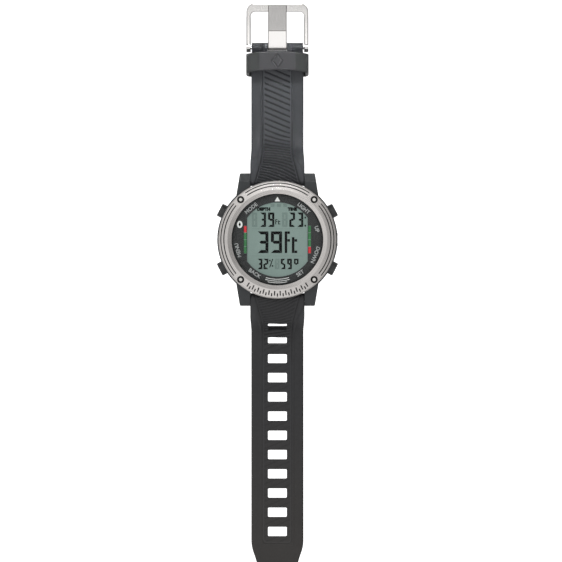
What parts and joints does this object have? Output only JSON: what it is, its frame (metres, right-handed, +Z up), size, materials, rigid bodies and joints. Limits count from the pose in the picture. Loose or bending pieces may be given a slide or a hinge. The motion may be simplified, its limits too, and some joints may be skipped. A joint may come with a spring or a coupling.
{
  "type": "wrist dive computer",
  "caption": "Wrist dive computer with a round display under a screwed steel bezel, side pushers, a coin cell in the back and a slotted rubber strap with a pin buckle and keeper.",
  "frame": {"origin": "on the display axis, in the plane of the back face that the computer rests on", "axes": "+Z up out of the display, +Y along the buckle strap (12 o'clock), +X towards 3 o'clock"},
  "size_m": [0.0488, 0.2327, 0.016],
  "materials": {
    "case_polymer": "moulded, fine grain",
    "bezel_steel": "circular brushed satin",
    "screw_steel": "polished stainless",
    "lens_glass": "clear mineral glass",
    "mask_print": "dark printed film",
    "lcd_grey": "reflective liquid crystal",
    "light_diffuser": "frosted acrylic",
    "inner_plastic": "moulded white nylon",
    "board_laminate": "solder mask",
    "chip_black": "moulded epoxy",
    "antenna_ceramic": "glazed ceramic block",
    "contact_metal": "nickel and gold plated",
    "piezo_brass": "rolled brass",
    "cell_steel": "pressed stainless can",
    "spring_steel": "drawn wire",
    "seal_rubber": "nitrile",
    "contact_rubber": "layered silicone",
    "button_polymer": "satin",
    "strap_rubber": "moulded soft grain",
    "keeper_rubber": "moulded soft grain",
    "buckle_steel": "polished stainless"
  },
  "bodies": {
    "case": {"case_body": "case_polymer", "bezel": "bezel_steel", "bezel_screws": "screw_steel", "front_glass": "lens_glass", "glass_gasket": "seal_rubber", "dial_mask": "mask_print", "lcd_panel": "lcd_grey", "backlight_guide": "light_diffuser", "contact_strips": "contact_rubber", "display_frame": "inner_plastic", "circuit_board": "board_laminate", "board_chips": "chip_black", "radio_antenna": "antenna_ceramic", "button_switches": "contact_metal", "pressure_sensor": "screw_steel", "water_contacts": "screw_steel", "buzzer_disc": "piezo_brass", "battery_tray": "inner_plastic", "battery_cell": "cell_steel", "positive_contact": "contact_metal", "back_cover": "case_polymer", "back_cover_gasket": "seal_rubber", "back_cover_screws": "screw_steel", "button_sleeves": "screw_steel", "button_seals": "seal_rubber", "buckle_side_spring_bar": "spring_steel", "long_side_spring_bar": "spring_steel", "upper_right_button_spring": "spring_steel", "upper_left_button_spring": "spring_steel", "lower_left_button_spring": "spring_steel", "lower_right_button_spring": "spring_steel"},
    "battery_cap": {"battery_cap": "case_polymer", "battery_cap_seal": "seal_rubber", "negative_contact": "contact_metal"},
    "buckle_strap_root": {"buckle_strap_root": "strap_rubber"},
    "buckle_strap_middle": {"buckle_strap_middle": "strap_rubber"},
    "buckle_strap_end": {"buckle_strap_end": "strap_rubber", "buckle_pin": "spring_steel"},
    "keeper": {"keeper_loop": "keeper_rubber"},
    "buckle": {"buckle_frame": "buckle_steel"},
    "prong": {"buckle_prong": "buckle_steel"},
    "long_strap_root": {"long_strap_root": "strap_rubber"},
    "long_strap_section_1": {"long_strap_section_1": "strap_rubber"},
    "long_strap_section_2": {"long_strap_section_2": "strap_rubber"},
    "long_strap_section_3": {"long_strap_section_3": "strap_rubber"},
    "long_strap_section_4": {"long_strap_section_4": "strap_rubber"},
    "long_strap_tail": {"long_strap_tail": "strap_rubber"},
    "upper_right_button": {"upper_right_button": "button_polymer", "upper_right_button_clip": "spring_steel"},
    "upper_left_button": {"upper_left_button": "button_polymer", "upper_left_button_clip": "spring_steel"},
    "lower_left_button": {"lower_left_button": "button_polymer", "lower_left_button_clip": "spring_steel"},
    "lower_right_button": {"lower_right_button": "button_polymer", "lower_right_button_clip": "spring_steel"}
  },
  "joints": [
    {"name": "upper_right_button_press", "type": "slide", "parent": "case", "child": "upper_right_button", "axis": [-0.887, -0.4617, 0], "range_m": [0, 0.0008], "stiffness_N_per_m": 800, "deforming": ["upper_right_button_spring"]},
    {"name": "upper_left_button_press", "type": "slide", "parent": "case", "child": "upper_left_button", "axis": [0.887, -0.4617, 0], "range_m": [0, 0.0008], "stiffness_N_per_m": 800, "deforming": ["upper_left_button_spring"]},
    {"name": "lower_left_button_press", "type": "slide", "parent": "case", "child": "lower_left_button", "axis": [0.887, 0.4617, 0], "range_m": [0, 0.0008], "stiffness_N_per_m": 800, "deforming": ["lower_left_button_spring"]},
    {"name": "lower_right_button_press", "type": "slide", "parent": "case", "child": "lower_right_button", "axis": [-0.887, 0.4617, 0], "range_m": [0, 0.0008], "stiffness_N_per_m": 800, "deforming": ["lower_right_button_spring"]},
    {"name": "battery_cap_turn", "type": "hinge", "parent": "case", "child": "battery_cap", "pos_m": [0, 0, 0], "axis": [0, 0, -1], "range_deg": [0, 60]},
    {"name": "buckle_strap_hinge", "type": "hinge", "parent": "case", "child": "buckle_strap_root", "pos_m": [0, 0.0243, 0.009], "axis": [-1, 0, 0], "range_deg": [0, 20]},
    {"name": "long_strap_hinge", "type": "hinge", "parent": "case", "child": "long_strap_root", "pos_m": [0, -0.0243, 0.009], "axis": [1, 0, 0], "range_deg": [0, 20]},
    {"name": "buckle_strap_flex_1", "type": "hinge", "parent": "buckle_strap_root", "child": "buckle_strap_middle", "pos_m": [0, 0.0485, 0.0016], "axis": [-1, 0, 0], "range_deg": [0, 25], "stiffness_Nm_per_rad": 0.01},
    {"name": "buckle_strap_flex_2", "type": "hinge", "parent": "buckle_strap_middle", "child": "buckle_strap_end", "pos_m": [0, 0.0565, 0.0016], "axis": [-1, 0, 0], "range_deg": [0, 25], "stiffness_Nm_per_rad": 0.01},
    {"name": "long_strap_flex_1", "type": "hinge", "parent": "long_strap_root", "child": "long_strap_section_1", "pos_m": [0, -0.05173, 0], "axis": [1, 0, 0], "range_deg": [0, 30], "stiffness_Nm_per_rad": 0.01},
    {"name": "long_strap_flex_2", "type": "hinge", "parent": "long_strap_section_1", "child": "long_strap_section_2", "pos_m": [0, -0.06722, 0], "axis": [1, 0, 0], "range_deg": [0, 30], "stiffness_Nm_per_rad": 0.01},
    {"name": "long_strap_flex_3", "type": "hinge", "parent": "long_strap_section_2", "child": "long_strap_section_3", "pos_m": [0, -0.08273, 0], "axis": [1, 0, 0], "range_deg": [0, 30], "stiffness_Nm_per_rad": 0.01},
    {"name": "long_strap_flex_4", "type": "hinge", "parent": "long_strap_section_3", "child": "long_strap_section_4", "pos_m": [0, -0.09823, 0], "axis": [1, 0, 0], "range_deg": [0, 30], "stiffness_Nm_per_rad": 0.01},
    {"name": "long_strap_flex_5", "type": "hinge", "parent": "long_strap_section_4", "child": "long_strap_tail", "pos_m": [0, -0.11373, 0], "axis": [1, 0, 0], "range_deg": [0, 30], "stiffness_Nm_per_rad": 0.01},
    {"name": "keeper_slide", "type": "slide", "parent": "buckle_strap_end", "child": "keeper", "axis": [0, 1, 0], "range_m": [-0.008, 0]},
    {"name": "buckle_hinge", "type": "hinge", "parent": "buckle_strap_end", "child": "buckle", "pos_m": [0, 0.0774, 0.00295], "axis": [1, 0, 0], "range_deg": [-80, 15]},
    {"name": "prong_hinge", "type": "hinge", "parent": "buckle", "child": "prong", "pos_m": [0, 0.0774, 0.00295], "axis": [1, 0, 0], "range_deg": [0, 55]}
  ],
  "couplings": [
    {"joint": "buckle_strap_flex_2", "follows": "buckle_strap_flex_1", "ratio": 1},
    {"joint": "long_strap_flex_2", "follows": "long_strap_flex_1", "ratio": 1},
    {"joint": "long_strap_flex_3", "follows": "long_strap_flex_1", "ratio": 1},
    {"joint": "long_strap_flex_4", "follows": "long_strap_flex_1", "ratio": 1},
    {"joint": "long_strap_flex_5", "follows": "long_strap_flex_1", "ratio": 1}
  ]
}
